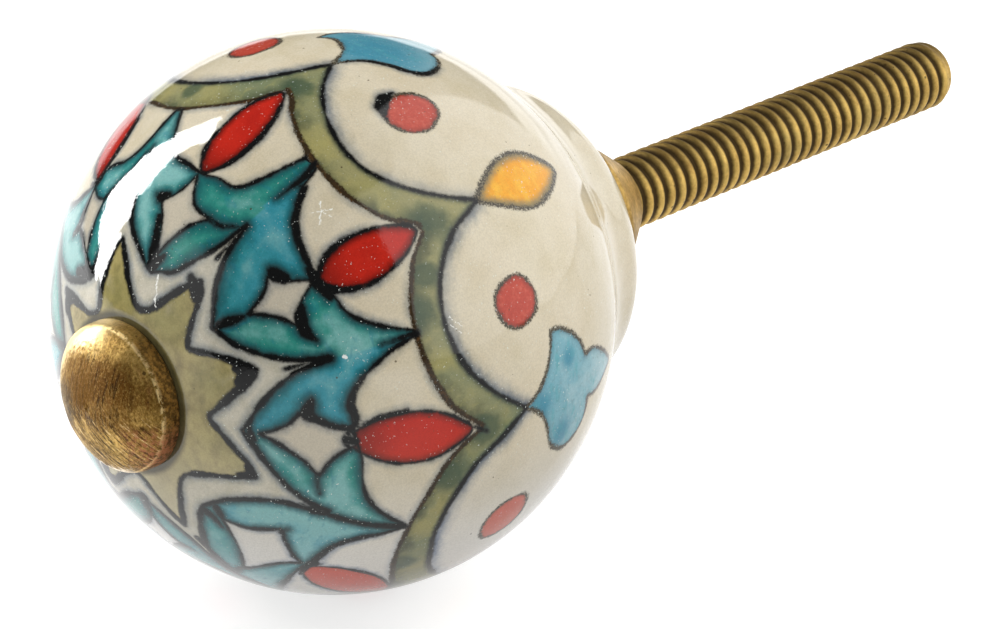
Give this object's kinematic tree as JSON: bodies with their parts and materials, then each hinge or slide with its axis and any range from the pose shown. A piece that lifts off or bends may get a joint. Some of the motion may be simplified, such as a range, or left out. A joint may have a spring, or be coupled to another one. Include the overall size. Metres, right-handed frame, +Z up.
{
  "type": "cabinet knob",
  "caption": "Ball-shaped glazed ceramic pull knob with painted pattern, domed brass cap, threaded brass stud and cone nut.",
  "frame": {"origin": "centre of the ceramic's rear face, which seats on the drawer front", "axes": "+Y along the stud, away from the ball; -Y out through the cap towards the user; +Z up as fitted on a drawer front"},
  "size_m": [0.034, 0.0775, 0.034],
  "materials": {
    "painted_glaze": "cream tin glaze with hand-painted folk pattern, glossy",
    "cap_brass": "antique brass, brushed and worn bright at the edge",
    "stud_brass": "antique brass, dark in the thread's roots",
    "nut_brass": "antique brass, satin"
  },
  "bodies": {
    "root": {"ceramic_body": "painted_glaze", "front_cap": "cap_brass", "threaded_stud": "stud_brass", "cone_nut": "nut_brass"}
  },
  "joints": []
}
